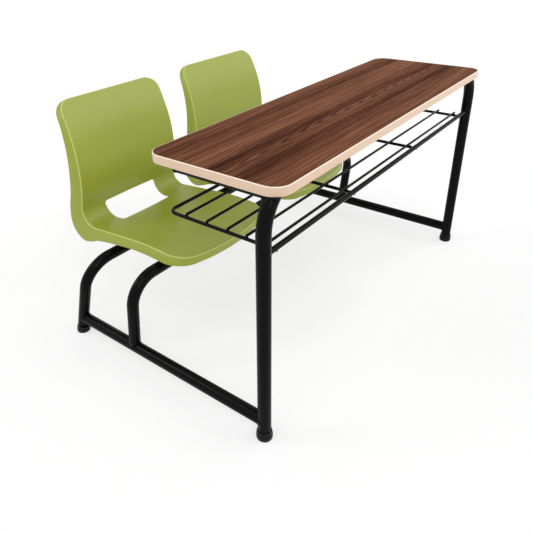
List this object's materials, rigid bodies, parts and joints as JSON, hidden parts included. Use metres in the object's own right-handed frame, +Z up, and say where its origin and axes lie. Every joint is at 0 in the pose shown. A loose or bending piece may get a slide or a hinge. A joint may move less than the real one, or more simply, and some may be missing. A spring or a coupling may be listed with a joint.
{
  "type": "double school desk",
  "caption": "Double school desk: laminated top on a bent black tube frame, wire book rack under it, and moulded plastic seats fixed to tube hoops behind.",
  "frame": {"origin": "on the floor, in the middle of the whole desk's footprint", "axes": "+X along the desk, +Y from the tall legs toward the seat backs, +Z up"},
  "size_m": [1.421, 0.9775, 0.7799],
  "materials": {
    "board": "raw particle board",
    "woodgrain_laminate": "satin dark woodgrain laminate",
    "backing": "matt pale backing sheet",
    "edge_band": "satin pale beige edge band",
    "black_powder_coat": "black powder coat, slightly glossy",
    "black_plastic": "black moulded plastic",
    "seat_plastic": "olive green moulded plastic, satin",
    "zinc_steel": "zinc-plated steel"
  },
  "bodies": {
    "root": {"arm_end_plugs": "black_plastic", "arm_gussets": "black_powder_coat", "desk_leg_left": "black_powder_coat", "desk_leg_right": "black_powder_coat", "desktop_backing_sheet": "backing", "desktop_core": "board", "desktop_edge_band": "edge_band", "desktop_laminate": "woodgrain_laminate", "foot_cap_front_left": "black_plastic", "foot_cap_front_right": "black_plastic", "foot_cap_rear_left": "black_plastic", "foot_cap_rear_right": "black_plastic", "front_seat_hoop": "black_powder_coat", "leg_top_plates": "black_powder_coat", "rack_cross_rods": "black_powder_coat", "rack_frame_rod": "black_powder_coat", "rack_front_rail": "black_powder_coat", "rack_long_rods": "black_powder_coat", "rear_seat_hoop": "black_powder_coat", "seat_bolts_left": "zinc_steel", "seat_bolts_right": "zinc_steel", "seat_plates_left": "black_powder_coat", "seat_plates_right": "black_powder_coat", "seat_shell_left": "seat_plastic", "seat_shell_right": "seat_plastic", "seat_washers_left": "zinc_steel", "seat_washers_right": "zinc_steel", "side_rail_left": "black_powder_coat", "side_rail_right": "black_powder_coat", "top_arm_left": "black_powder_coat", "top_arm_right": "black_powder_coat", "top_cross_rail": "black_powder_coat", "top_fixing_screws": "zinc_steel", "top_fixing_tabs": "black_powder_coat"}
  },
  "joints": []
}
